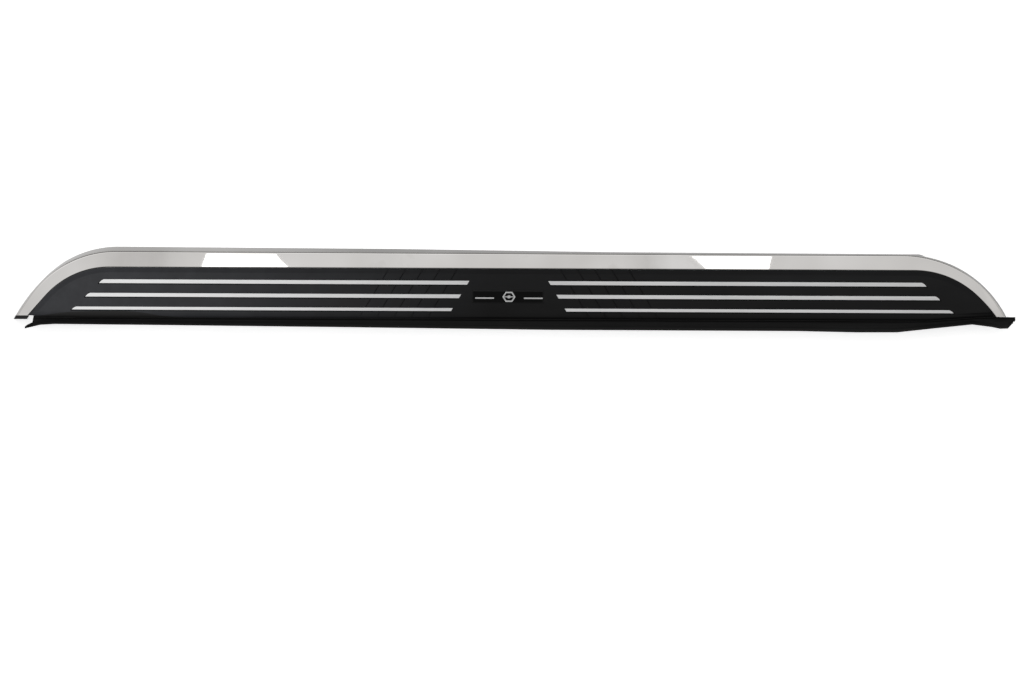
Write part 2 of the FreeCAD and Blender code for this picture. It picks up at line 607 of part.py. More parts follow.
def seal_flap():
    """Rubber seal: a root that grips the core's slot and a curved flap towards the vehicle."""
    flap = loft_sections([(x, flap_section(*rest)) for x, *rest in FLAP_STATIONS])
    gap = 0.4
    root = along(ROOT_LINE, [
        (1.4, SEAL_MOUTH_Z[0] + gap), (1.4, SEAL_MOUTH_Z[1] - gap), (-2.4, SEAL_MOUTH_Z[1] - gap),
        (-2.4, SEAL_SLOT_Z[1] - gap), (-7.4, SEAL_SLOT_Z[1] - gap - 1.5),
        (-7.4, SEAL_SLOT_Z[0] + gap + 1.5), (-2.4, SEAL_SLOT_Z[0] + gap), (-2.4, SEAL_MOUTH_Z[0] + gap)],
        ROOT_LINE[0][0] + 14, ROOT_LINE[-1][0] - 14)
    return flap.fuse(root)


# ---- sliding stud plates ----------------------------------------------------------------------------

def plate_bottom():
    return SEAT + SLOT_LIP + PLATE_GAP


def stud_places(station):
    return [V(station + side * STUD_SPACING / 2, SLOT_CENTRE_Y, 0) for side in (-1, 1)]


def stud_plate(station):
    """Plate that slides in the core's T-slot and can't turn there."""
    long_x, wide_y, thick = PLATE_SIZE
    low = plate_bottom()
    plate = box(station - long_x / 2, station + long_x / 2, SLOT_CENTRE_Y - wide_y / 2,
                SLOT_CENTRE_Y + wide_y / 2, low, low + thick)
    corners = [e for e in plate.Edges if e.BoundBox.ZLength > thick - 0.1]
    plate = plate.makeFillet(2.0, corners)
    for place in stud_places(station):
        plate = plate.cut(Part.makeCylinder(KNURL_RADIUS, thick * 3, place + V(0, 0, low - thick)))
    return plate


def stud_pair(station):
    """Two threaded studs with thicker knurled necks, pressed in until their heads seat on the plate."""
    head_radius, head_height = STUD_HEAD
    neck_z = plate_bottom()
    head_z = neck_z + PLATE_SIZE[2]
    studs = []
    for place in stud_places(station):
        shaft = Part.makeCylinder(STUD_RADIUS, neck_z - STUD_LOW, place + V(0, 0, STUD_LOW))
        low_rim = [e for e in shaft.Edges if e.BoundBox.ZMax < STUD_LOW + 0.1]
        shaft = shaft.makeChamfer(0.8, low_rim)
        neck = Part.makeCylinder(KNURL_RADIUS, PLATE_SIZE[2], place + V(0, 0, neck_z))
        head = Part.makeCylinder(head_radius, head_height, place + V(0, 0, head_z))
        studs.append(fused([shaft, neck, head]))
    return studs


# ---- the nodes --------------------------------------------------------------------------------------

save("core_beam", core_beam())
save("tread_cover", tread_cover())
save("outer_trim", outer_trim())
save("trim_carrier", trim_carrier())
save("seal_flap", seal_flap())
save("badge_plate", badge_plate())
save("badge_emblem", badge_emblem())
for side in ("left", "right"):
    save("end_support_" + side, end_support(side))
    save("trim_end_cap_" + side, trim_end_cap(side))
    save("badge_bar_" + side, badge_bar(side))
    for row, (row_name, _, _) in enumerate(STRIP_ROWS):
        save("inlay_strip_" + row_name + "_" + side, inlay_strip(row, side))
for number, station in enumerate(PLATE_STATIONS, 1):
    save("stud_plate_" + str(number), stud_plate(station))
    save("stud_pair_" + str(number), stud_pair(station))
for name, group in (("tread_screws", TREAD_SCREW), ("trim_screws", TRIM_SCREW),
                    ("carrier_screws", CARRIER_SCREW), ("end_support_screws", SUPPORT_SCREW)):
    save(name, [screw(*s) for s in group])
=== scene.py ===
import math

import bpy
import numpy as np
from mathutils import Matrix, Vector, noise


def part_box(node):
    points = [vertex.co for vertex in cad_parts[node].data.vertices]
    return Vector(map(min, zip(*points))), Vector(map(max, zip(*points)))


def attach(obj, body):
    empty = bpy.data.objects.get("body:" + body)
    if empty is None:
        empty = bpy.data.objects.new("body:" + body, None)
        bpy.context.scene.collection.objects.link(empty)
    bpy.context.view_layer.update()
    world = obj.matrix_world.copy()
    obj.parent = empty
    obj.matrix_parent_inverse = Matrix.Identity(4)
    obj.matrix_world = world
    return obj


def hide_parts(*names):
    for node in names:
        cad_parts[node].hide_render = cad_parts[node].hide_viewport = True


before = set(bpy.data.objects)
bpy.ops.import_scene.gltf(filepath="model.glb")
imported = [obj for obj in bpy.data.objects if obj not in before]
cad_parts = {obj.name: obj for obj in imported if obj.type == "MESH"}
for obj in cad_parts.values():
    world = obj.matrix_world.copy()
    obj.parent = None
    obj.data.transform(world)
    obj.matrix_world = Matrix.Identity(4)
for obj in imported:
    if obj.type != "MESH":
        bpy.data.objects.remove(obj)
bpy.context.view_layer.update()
MM = 0.001

# ---- plan curves of the board's outer side, in millimetres, as the CAD model has them ---------------

FOLD = "fold"
FOLD_TURN = 16.4
FOLD_RUN = 37.5
BAND_Y = 39.5
BAND_EDGE = {"left": ((-769.0, BAND_Y), (163.6, 24.0), (163.6, 24.1), (2000.0, None)),
             "right": ((759.7, BAND_Y), (176.7, 14.0), (176.7, 29.5), (293.9, None))}
RIDGE = {"left": ((-757.3, 70.2), (198.5, 26.0), (198.5, 27.3), (628.3, None)),
         "right": ((737.4, 68.6), (227.3, 14.0), (227.3, 20.0), (212.3, None))}
SKIRT_FOOT = {"left": ((-752.7, 78.8), (196.0, 22.0), (196.0, 22.0), (340.6, None)),
              "right": ((771.0, 70.6), (FOLD, None), (211.8, 22.0), (211.8, None))}
TAPER_X = (-217.0, 180.0)
SKIRT_TAPER_Y = (76.6, 72.2)
TIP_CUT_Y = {"left": -53.0, "right": -48.0}
TIP_STEPS = 24
RUN_STEPS = 60


def polar(radius, angle):
    return np.array([math.sin(angle), math.cos(angle)]) * radius


def tip_run(curve, side, inset):
    """Plan places from the straight run to the tip's cut, TIP_STEPS for each stretch."""
    (x0, y0), *stretches = curve[side]
    sign = 1 if side == "right" else -1
    point = np.array([x0 * sign, y0 - inset])
    turned = 0.0
    places = []
    for radius, sweep in stretches:
        if radius is FOLD:
            turned = math.radians(FOLD_TURN)
            run = np.array([math.cos(turned), -math.sin(turned)]) * FOLD_RUN
            end = np.array([x0 * sign, y0]) + run - polar(inset, turned)
            point[0] -= inset * math.tan(turned / 2)
            places += [point + (end - point) * i / TIP_STEPS for i in range(TIP_STEPS)]
        else:
            centre = point - polar(radius - inset, turned)
            if sweep is None:
                final = math.acos((TIP_CUT_Y[side] - centre[1]) / (radius - inset))
            else:
                final = turned + math.radians(sweep)
            angles = np.linspace(turned, final, TIP_STEPS, endpoint=False)
            places += [centre + polar(radius - inset, a) for a in angles]
            end = centre + polar(radius - inset, final)
            turned = final
        point = end
    places = np.array(places + [point])
    places[:, 0] *= sign
    return places


def rail(curve, inset, z):
    """One long line of the outer side, from tip to tip, in step with every other rail. In metres."""
    left = tip_run(curve, "left", inset)
    right = tip_run(curve, "right", inset)
    knots = [left[0]]
    for x, skirt_y in zip(TAPER_X, SKIRT_TAPER_Y):
        share = (x - left[0, 0]) / (right[0, 0] - left[0, 0])
        straight_y = left[0, 1] + (right[0, 1] - left[0, 1]) * share
        knots.append(np.array([x, skirt_y - inset if curve is SKIRT_FOOT else straight_y]))
    knots.append(right[0])
    run = []
    for a, b in zip(knots, knots[1:]):
        run += [a + (b - a) * i / RUN_STEPS for i in range(RUN_STEPS)]
    plan = np.vstack([left[:0:-1], run, right])
    return np.column_stack([plan, np.full(len(plan), z)]) * MM


# ---- mesh helpers -----------------------------------------------------------------------------------

SHARP_ANGLE = math.radians(38.0)


def mesh_object(name, vertices, faces):
    mesh = bpy.data.meshes.new(name)
    mesh.from_pydata([tuple(v) for v in vertices], [], faces)
    mesh.validate()
    mesh.update()
    mesh.shade_smooth()
    mesh.set_sharp_from_angle(angle=SHARP_ANGLE)
    obj = bpy.data.objects.new(name, mesh)
    bpy.context.scene.collection.objects.link(obj)
    return obj


def tube_mesh(name, rings):
    """Closed skin through rings, an array of stations by points by 3, with a flat face at each end."""
    stations, count = rings.shape[:2]
    faces = []
    for s in range(stations - 1):
        for k in range(count):
            n = (k + 1) % count
            faces.append((s * count + k, s * count + n, (s + 1) * count + n, (s + 1) * count + k))
    faces.append(tuple(range(count))[::-1])
    faces.append(tuple((stations - 1) * count + k for k in range(count)))
    obj = mesh_object(name, rings.reshape(-1, 3), faces)
    flip_if_inside_out(obj)
    return obj


def flip_if_inside_out(obj):
    mesh = obj.data
    volume = 0.0
    for poly in mesh.polygons:
        volume += poly.center.dot(poly.normal) * poly.area
    if volume < 0:
        mesh.flip_normals()


def round_corners(corners, radii, steps=5):
    """Rounds each corner of a closed profile, given as corners by stations by 3, by its own radius."""
    rounded = []
    for k, radius in enumerate(radii):
        here = corners[k]
        before = corners[k - 1] - here
        after = corners[(k + 1) % len(radii)] - here
        start = here + before / np.linalg.norm(before, axis=1, keepdims=True) * radius
        end = here + after / np.linalg.norm(after, axis=1, keepdims=True) * radius
        for t in np.linspace(0, 1, steps):
            rounded.append(start * (1 - t) ** 2 + here * 2 * t * (1 - t) + end * t ** 2)
    return np.stack(rounded, axis=1)


def weighted_normals(obj):
    modifier = obj.modifiers.new("weighted_normals", "WEIGHTED_NORMAL")
    modifier.keep_sharp = True
    modifier.weight = 90
    return obj


# ---- materials, with places in metres ---------------------------------------------------------------

# the Mix node's sockets for a factor and two colours, and its colour output
MIX_INPUTS = (0, 6, 7)
MIX_OUTPUT = 2

TREAD_HEIGHT = 0.040
# where the painted sheen on the plastic, paler to the left where the light falls, is full along the board,
# and where it ends
PAINTED_SHEEN_X = (-0.80, -0.05)
# where the painted sheen starts across the board, and where it is full towards the outer edge
PAINTED_SHEEN_Y = (-0.040, 0.030)
PAINTED_SHEEN_COLOUR = (0.105, 0.108, 0.120, 1.0)
# how full the painted sheen gets on the tread, along and across the board
TREAD_PAINTED_SHEEN = (0.42, 0.05)
# line beyond which low places are the tread's rounded edge and not recesses, and so get no painted shade
RECESS_Y = -0.0439
RECESS_EDGE_Y = 0.0003
RECESS_EDGE_Z = 0.0002
# how far below its top the tread counts as a recess, which gets painted shade
RECESS_DEPTH = 0.0001
# where the steel is smudged along the board, and how softly each smudge ends
SMUDGES = ((-0.80, -0.62), (0.205, 0.30))
SMUDGE_FADE = 0.05
# height over which the painted highlight on the rubber comes in, paler towards the flap's raised free edge
PAINTED_HIGHLIGHT_Z = (0.032, 0.043)


def grey(value, warm=0.0):
    return (value * (1 + warm), value, value * (1 - warm), 1.0)


def feed(tree, socket, value):
    """Links value to socket if it is another node's output, or else sets it."""
    if isinstance(value, bpy.types.NodeSocket):
        tree.links.new(value, socket)
    else:
        socket.default_value = value


def map_range(tree, factor, low, high, low_value, high_value):
    """Output that maps factor from low..high to two values, clamped."""
    node = tree.nodes.new("ShaderNodeMapRange")
    feed(tree, node.inputs["Value"], factor)
    limits = {"From Min": low, "From Max": high, "To Min": low_value, "To Max": high_value}
    for name, value in limits.items():
        node.inputs[name].default_value = value
    return node.outputs["Result"]


def mix_colours(tree, factor, a, b):
    """Output that runs from colour a to colour b as factor rises."""
    node = tree.nodes.new("ShaderNodeMix")
    node.data_type = "RGBA"
    for place, value in zip(MIX_INPUTS, (factor, a, b)):
        feed(tree, node.inputs[place], value)
    return node.outputs[MIX_OUTPUT]


class Nodes:
    """A material's node tree, with short ways to add what most of them need."""

    def __init__(self, name):
        self.material = bpy.data.materials.new(name)
        self.material.use_nodes = True
        self.tree = self.material.node_tree
        self.shader = self.tree.nodes["Principled BSDF"]
        self.place = self.tree.nodes.new("ShaderNodeTexCoord").outputs["Object"]

    def node(self, kind, **inputs):
        node = self.tree.nodes.new(kind)
        for name, value in inputs.items():
            feed(self.tree, node.inputs[name.replace("_", " ")], value)
        return node

    def set(self, **values):
        for name, value in values.items():
            feed(self.tree, self.shader.inputs[name.replace("_", " ")], value)

    def stretched(self, x, y, z):
        mapping = self.node("ShaderNodeMapping", Vector=self.place)
        mapping.inputs["Scale"].default_value = (x, y, z)
        return mapping.outputs["Vector"]

    def noise(self, scale, detail=3.0, roughness=0.55, vector=None):
        node = self.node("ShaderNodeTexNoise", Vector=vector or self.place, Scale=scale, Detail=detail,
                         Roughness=roughness)
        return node.outputs["Fac"]

    def axis(self, letter):
        """Place along one axis of the frame, in metres."""
        return self.node("ShaderNodeSeparateXYZ", Vector=self.place).outputs[letter]

    def ramp(self, factor, low, high, low_value, high_value):
        return map_range(self.tree, factor, low, high, low_value, high_value)

    def mix(self, factor, a, b):
        return mix_colours(self.tree, factor, a, b)

    def combine(self, operation, a, b):
        node = self.tree.nodes.new("ShaderNodeMath")
        node.operation = operation
        for socket, value in zip(node.inputs, (a, b)):
            feed(self.tree, socket, value)
        return node.outputs["Value"]

    def add(self, a, b):
        return self.combine("ADD", a, b)

    def times(self, a, b):
        return self.combine("MULTIPLY", a, b)

    def bump(self, height, strength, distance):
        node = self.node("ShaderNodeBump", Strength=strength, Distance=distance, Height=height)
        self.tree.links.new(node.outputs["Normal"], self.shader.inputs["Normal"])


def polished_steel():
    """Bright folded sheet, slightly wavy, with faint lengthwise polishing lines and a few smears."""
    m = Nodes("polished_steel")
    lines = m.noise(1.0, 2.0, 0.6, m.stretched(6.0, 2600.0, 2600.0))
    smears = m.noise(9.0, 4.0, 0.6)
    cloud = m.noise(5.5, 2.0, 0.5)
    tint = m.mix(m.ramp(cloud, 0.35, 0.65, 0.0, 1.0), grey(0.55, 0.03), grey(0.65, 0.02))
    tint = m.mix(m.ramp(smears, 0.6, 0.72, 0.0, 0.5), tint, grey(0.45, 0.05))
    along = m.axis("X")
    for start, end in SMUDGES:
        inward = m.ramp(along, start, start + SMUDGE_FADE, 0.0, 1.0)
        outward = m.ramp(along, end - SMUDGE_FADE, end, 1.0, 0.0)
        spread = m.times(inward, outward)
        smudge = m.times(spread, m.ramp(smears, 0.3, 0.7, 0.4, 1.0))
        tint = m.mix(smudge, tint, grey(0.46, 0.03))
    rough = m.add(m.ramp(smears, 0.4, 0.75, 0.012, 0.04), m.ramp(lines, 0.4, 0.7, 0.0, 0.015))
    m.set(Base_Color=tint, Metallic=1.0, Roughness=rough)
    m.bump(m.noise(9.0, 1.0, 0.4, m.stretched(1.0, 2.0, 1.0)), 1.0, 0.0004)
    return m.material


def satin_steel():
    """Small badge pieces in satin steel."""
    m = Nodes("satin_steel")
    lines = m.noise(1.0, 2.0, 0.5, m.stretched(60.0, 4000.0, 4000.0))
    m.set(Base_Color=m.mix(lines, grey(0.55), grey(0.66)), Metallic=1.0,
          Roughness=m.ramp(lines, 0.3, 0.7, 0.36, 0.44))
    m.bump(lines, 0.08, 0.00001)
    return m.material


def moulded_black(name, base, rough, grain_scale, grain_depth, haze=(0.0, 0.0), recess_z=-1.0):
    """Moulded plastic: fine spark grain, soft sheen patches, a little dust, and a painted sheen, paler to
    the left and towards the outer edge, that stands in for the light falling there; haze gives how full it
    gets along and across.

    Below recess_z it is darker and duller: the darker colour is painted shade in the pockets and cuts, the
    dullness is rougher plastic there.
    """
    m = Nodes(name)
    grain = m.noise(grain_scale, 2.0, 0.5)
    patches = m.noise(7.0, 4.0, 0.6, m.stretched(0.5, 2.0, 2.0))
    dust = m.noise(420.0, 2.0, 0.7)
    tint = m.mix(m.ramp(patches, 0.35, 0.75, 0.0, 1.0), grey(base), grey(base * 1.6))
    tint = m.mix(m.ramp(dust, 0.68, 0.8, 0.0, 0.15), tint, grey(base * 4 + 0.006, 0.05))
    cloud = m.ramp(m.noise(30.0, 4.0, 0.65), 0.3, 0.7, 0.75, 1.0)
    # painted sheen: paler to the left and towards the outer edge, in place of the light that falls there
    along = m.ramp(m.axis("X"), *PAINTED_SHEEN_X, haze[0], 0.0)
    across = m.ramp(m.axis("Y"), *PAINTED_SHEEN_Y, 0.0, haze[1])
    painted_sheen = m.times(m.add(along, across), cloud)
    tint = m.mix(painted_sheen, tint, PAINTED_SHEEN_COLOUR)
    # painted shade: pockets and cuts below recess_z turn near black, except on the rounded inner edge
    low = m.ramp(m.axis("Z"), recess_z - RECESS_EDGE_Z, recess_z, 1.0, 0.0)
    painted_recess_shade = m.times(low, m.ramp(m.axis("Y"), RECESS_Y, RECESS_Y + RECESS_EDGE_Y, 0.0, 1.0))
    tint = m.mix(painted_recess_shade, tint, grey(0.0004))
    dull = m.add(m.ramp(patches, 0.3, 0.8, rough - 0.05, rough + 0.07),
                 m.ramp(grain, 0.3, 0.7, -0.03, 0.03))
    dull = m.add(dull, m.ramp(painted_recess_shade, 0.0, 1.0, 0.0, 0.5))
    m.set(Base_Color=tint, Specular_IOR_Level=0.20, Roughness=dull)
    m.bump(grain, 0.35, grain_depth)
    return m.material


def brushed_aluminium(name, base, rough, across=5200.0):
    """Aluminium with lines drawn along the board."""
    m = Nodes(name)
    lines = m.noise(1.0, 3.0, 0.65, m.stretched(9.0, across, across))
    patches = m.noise(6.0, 3.0, 0.5)
    tint = m.mix(m.ramp(lines, 0.3, 0.7, 0.0, 1.0), grey(base * 0.9), grey(base))
    m.set(Base_Color=tint, Metallic=1.0,
          Roughness=m.add(m.ramp(lines, 0.3, 0.7, rough - 0.05, rough + 0.06),
                          m.ramp(patches, 0.3, 0.7, -0.03, 0.04)))
    m.bump(lines, 0.2, 0.00003)
    return m.material


def rubber():
    """Extruded rubber: matt black with a pale bloom in random patches, a painted highlight that turns it
    paler higher up towards the free edge, and a fine pebble.
    """
    m = Nodes("rubber")
    pebble = m.noise(1500.0, 2.0, 0.5)
    bloom = m.noise(16.0, 4.0, 0.65, m.stretched(0.4, 2.0, 2.0))
    tint = m.mix(m.ramp(bloom, 0.4, 0.75, 0.0, 1.0), grey(0.003), grey(0.007))
    # painted highlight: the rubber turns paler with height, towards the flap's free edge
    tint = m.mix(m.ramp(m.axis("Z"), *PAINTED_HIGHLIGHT_Z, 0.0, 1.0), tint, grey(0.028, 0.01))
    m.set(Base_Color=tint, Roughness=m.ramp(bloom, 0.3, 0.8, 0.42, 0.6), Specular_IOR_Level=0.12)
    m.bump(pebble, 0.25, 0.0001)
    return m.material


def gloss_black():
    """Lacquered badge plate with a faint orange peel."""
    m = Nodes("gloss_black")
    peel = m.noise(500.0, 1.0, 0.4)
    haze = m.noise(60.0, 3.0, 0.6)
    m.set(Base_Color=m.mix(haze, grey(0.0015), grey(0.003)), Roughness=m.ramp(haze, 0.3, 0.8, 0.03, 0.09),
          Specular_IOR_Level=0.45)
    m.bump(peel, 0.02, 0.00002)
    return m.material


def zinc_steel(name, base, rough):
    """Plated steel with a mottled passivated finish."""
    m = Nodes(name)
    mottle = m.noise(160.0, 4.0, 0.6)
    tint = m.mix(mottle, grey(base * 0.8, 0.02), grey(base, -0.01))
    m.set(Base_Color=tint, Metallic=1.0, Roughness=m.ramp(mottle, 0.3, 0.7, rough - 0.06, rough + 0.1))
    m.bump(m.noise(900.0, 2.0, 0.5), 0.08, 0.00005)
    return m.material


def paint(obj, material):
    obj.data.materials.clear()
    obj.data.materials.append(material)
    return obj


# ---- bright trim ------------------------------------------------------------------------------------

TRIM_THICK = 1.2
BAND_TOP = 43.0
BAND_LIP_FOOT = 39.0
RIDGE_TOP = 37.5
FLANGE_FOOT = 3.0
# rise and fall of the thin sheet along the board, and how quickly it changes; the foot below WAVE_FROM
# stays flat; rings, and so these, are in metres
WAVE_HEIGHT = 0.00007
WAVE_RATE = 9.0
WAVE_FROM = 0.006


def trim_corners():
    """Corners of the folded sheet's cross-section: (curve, inset, z, corner radius), in millimetres."""
    t = TRIM_THICK
    outside = [(BAND_EDGE, 0.0, BAND_LIP_FOOT, 0.15), (BAND_EDGE, -0.2, BAND_TOP, 1.3),
               (RIDGE, 0.0, RIDGE_TOP + 0.1, 4.6), (SKIRT_FOOT, 0.0, 2.4, 2.4),
               (SKIRT_FOOT, 3.4, 0.0, 1.6), (SKIRT_FOOT, 6.6, 0.0, 1.6),
               (SKIRT_FOOT, 11.6, FLANGE_FOOT, 1.6), (BAND_EDGE, 7.6, FLANGE_FOOT, 0.15)]
    inside = [(BAND_EDGE, 7.6, FLANGE_FOOT + t, 0.15), (SKIRT_FOOT, 12.0, FLANGE_FOOT + t, 1.2),
              (SKIRT_FOOT, 7.2, t, 1.2), (SKIRT_FOOT, 3.9, t, 1.0), (SKIRT_FOOT, t + 0.3, 3.2, 1.4),
              (RIDGE, t + 0.4, RIDGE_TOP - 1.3, 3.6), (BAND_EDGE, -t, BAND_TOP - t - 0.1, 0.3),
              (BAND_EDGE, -t, BAND_LIP_FOOT, 0.15)]
    return outside + inside


def make_trim(material):
    """The trim as one thin folded sheet, very slightly wavy as thin polished sheet is."""
    corners = trim_corners()
    lines = np.stack([rail(curve, inset, z) for curve, inset, z, _ in corners])
    rings = round_corners(lines, [radius * MM for *_, radius in corners])
    for ring in rings:
        wave = noise.noise(Vector((ring[0, 0] * WAVE_RATE, 0.0, 3.0)))
        ring[:, 2] += WAVE_HEIGHT * wave * (ring[:, 2] > WAVE_FROM)
    obj = tube_mesh("trim_sheet", rings)
    weighted_normals(obj)
    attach(obj, "board")
    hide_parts("outer_trim")
    return paint(obj, material)


# ---- seal -------------------------------------------------------------------------------------------

# (x, line where the flap leaves the board, free edge, how far it reaches behind that line), in
# millimetres and close to the CAD solid's, then rise as a share of the full height
FLAP_STATIONS = (
    (-930.0, -74.6, -78.2, 0.0, 0.30), (-925.5, -71.0, -77.0, 0.0, 0.35),
    (-915.5, -66.0, -74.8, 0.0, 0.45), (-913.5, -56.6, -74.2, 2.9, 0.60),
    (-900.0, -56.6, -71.0, 4.3, 0.85), (-872.0, -57.0, -69.4, 6.2, 1.0),
    (-692.0, -57.0, -70.4, 7.7, 1.0), (-300.0, -57.0, -73.3, 7.7, 1.0), (68.0, -57.0, -76.5, 7.7, 1.0),
    (540.0, -57.0, -76.8, 7.7, 1.0), (650.0, -57.0, -78.8, 7.7, 1.0), (728.0, -57.0, -78.4, 7.7, 1.0),
    (790.0, -56.8, -71.4, 7.5, 0.95), (870.0, -51.0, -62.8, 7.4, 0.85), (880.0, -50.3, -64.0, 7.2, 0.84),
    (908.0, -48.9, -67.6, 2.3, 0.80), (917.0, -48.5, -69.4, 1.0, 0.77), (923.0, -48.3, -70.6, 0.0, 0.75),
    (938.0, -48.3, -70.2, 0.0, 0.70), (945.0, -48.3, -62.5, 0.0, 0.66), (948.0, -48.3, -60.0, 0.0, 0.65),
    (948.6, -48.3, -56.6, 0.0, 0.64), (950.4, -48.3, -57.6, 0.0, 0.63), (952.4, -48.3, -54.5, 0.0, 0.62))
# the flap's cross-section as (share of the way out to the free edge, z), over its top and back underneath
FLAP_TOP = ((0.0, 33.8), (0.11, 31.7), (0.26, 31.4), (0.42, 32.6), (0.60, 34.8), (0.76, 38.4),
            (0.90, 44.0), (0.955, 46.0))
FLAP_UNDER = ((1.0, 45.4), (0.93, 41.0), (0.83, 36.4), (0.66, 32.4), (0.45, 30.0), (0.26, 28.7),
              (0.10, 28.2), (0.0, 26.0))
FLAP_BACK = (25.5, 33.4)
FLAP_LEVEL = 33.0
FLAP_STEP = 3.0
FLAP_SPAN_STEPS = 5
# ribs repeat after this many points of the cross-section
RIB_POINTS = 3
RIB_HEIGHT = 0.1
# slow rise and fall of the free edge: its height, its mean, and how quickly it changes per millimetre
RIPPLE_HEIGHT = 0.5
RIPPLE_MEAN = -0.4
RIPPLE_RATE = 0.012

# inner edge of the board, and the root's cross-section as (distance out from that line, z)
ROOT_LINE = ((-921.0, -52.9), (-850.0, -49.0), (790.0, -49.0), (880.0, -42.5), (910.0, -46.0))
ROOT_INSET = 14.0
ROOT_SHAPE = ((1.4, 26.4), (1.4, 29.6), (-2.4, 29.6), (-2.4, 31.6), (-7.4, 30.1), (-7.4, 25.9),
              (-2.4, 24.4), (-2.4, 26.4))

# the tread's rounded inner edge, in millimetres
TREAD_EDGE_Y = -56.0
ROLL_WIDE = 12.0
ROLL_DEEP = 6.0

# where the lap that lies on that edge near the left tip reaches up to, as (x, y), and its own sizes
LAP_LINE = ((-911.0, -55.4), (-880.0, -50.4), (-848.0, -46.4), (-800.0, -44.4), (-747.0, -43.9),
            (-711.0, -46.2), (-690.0, -49.6), (-676.0, -52.2), (-655.0, -54.2), (-630.0, -55.6))
LAP_LOW_Y = -57.4
LAP_STEPS = 9
LAP_THICK = 1.1
LAP_EDGE = 0.5


def smooth_loop(points, per_span):
    """Closed Catmull-Rom curve through points."""
    pts = np.array(points)
    out = []
    for i in range(len(pts)):
        a, b, c, d = pts[i - 1], pts[i], pts[(i + 1) % len(pts)], pts[(i + 2) % len(pts)]
        for t in np.linspace(0, 1, per_span, endpoint=False):
            out.append(0.5 * (2 * b + (c - a) * t + (2 * a - 5 * b + 4 * c - d) * t ** 2
                              + (3 * b - a - 3 * c + d) * t ** 3))
    return np.array(out)


def flap_rings():
    table = np.array(FLAP_STATIONS)
    xs = np.union1d(np.arange(table[0, 0], table[-1, 0], FLAP_STEP), table[:, 0])
    shape = smooth_loop(FLAP_TOP + FLAP_UNDER, FLAP_SPAN_STEPS)
    # the loop is cut where it passes behind the line, and the flat back takes its place
    shape = shape[shape[:, 0] >= 0.0]
    ribs = RIB_HEIGHT * np.cos(np.arange(len(shape)) * 2 * math.pi / RIB_POINTS)
    rings = []
    for x in xs:
        inner, edge, tuck, rise = (np.interp(x, table[:, 0], table[:, k]) for k in (1, 2, 3, 4))
        ripple = RIPPLE_MEAN + RIPPLE_HEIGHT * noise.noise(Vector((x * RIPPLE_RATE, 7.0, 0.0)))
        y = inner - shape[:, 0] * (inner - edge)
        z = FLAP_LEVEL + (shape[:, 1] + ribs - FLAP_LEVEL) * rise + ripple * shape[:, 0]
        back_y = [inner + tuck, inner + tuck]
        back_z = [FLAP_LEVEL + (level - FLAP_LEVEL) * rise for level in FLAP_BACK]
        y, z = np.append(y, back_y), np.append(z, back_z)
        rings.append(np.column_stack([np.full(len(y), x), y, z]) * MM)
    return np.array(rings)


def root_rings():
    """The bead that grips the beam's slot, along the board's inner edge line."""
    (x0, _), *_, (x1, _) = ROOT_LINE
    xs = [x0 + ROOT_INSET] + [x for x, _ in ROOT_LINE[1:-1]] + [x1 - ROOT_INSET]
    rings = []
    for x in xs:
        line_y = np.interp(x, *zip(*ROOT_LINE))
        rings.append([(x * MM, (line_y - out) * MM, z * MM) for out, z in ROOT_SHAPE])
    return np.array(rings)


def roll_height(y):
    """Height of the tread's rounded inner edge at y, in millimetres."""
    share = min(1.0, max(0.0, (TREAD_EDGE_Y + ROLL_WIDE - y) / ROLL_WIDE))
    return TREAD_HEIGHT / MM - ROLL_DEEP * (1 - math.sqrt(1 - share ** 2))


def lap_rings():
    """Thin lap of rubber that has ridden up over the tread's rounded edge near the left tip."""
    table = np.array(LAP_LINE)
    rings = []
    for x in np.arange(table[0, 0], table[-1, 0] + FLAP_STEP, FLAP_STEP):
        upper = np.interp(x, table[:, 0], table[:, 1])
        ys = np.linspace(upper, LAP_LOW_Y, LAP_STEPS)
        top = [(x, y, roll_height(max(y, TREAD_EDGE_Y)) + LAP_THICK) for y in ys]
        top[0] = (x, ys[0], roll_height(ys[0]) + LAP_EDGE)
        under = [(x, y, roll_height(max(y, TREAD_EDGE_Y)) + LAP_EDGE / 2) for y in ys[::-1]]
        rings.append(np.array(top + under) * MM)
    return np.array(rings)


def make_seal(material):
    """The rubber seal: a ribbed curved flap with a loose tail, a torn end and a lap, and its root."""
    for name, rings in (("seal_flap_rubber", flap_rings()), ("seal_root_rubber", root_rings()),
                        ("seal_lap_rubber", lap_rings())):
        obj = tube_mesh(name, rings)
        weighted_normals(obj)
        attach(obj, "board")
        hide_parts("seal_flap")
        paint(obj, material)


# ---- studs ------------------------------------------------------------------------------------------

STUD_RADIUS = 4.0
THREAD_PITCH = 1.25
THREAD_DEPTH = 0.62
THREAD_STEPS = 6
NECK_RADIUS = 4.3
HEAD_RADIUS = 7.0
ROUND_STEPS = 36
KNURLS = 12
KNURL_DEPTH = 0.12
# how far the stud's point tapers in, and the small edges of its head
POINT_TAPER = 0.8
HEAD_UNDER_EDGE = 0.2
HEAD_TOP_EDGE = 0.5


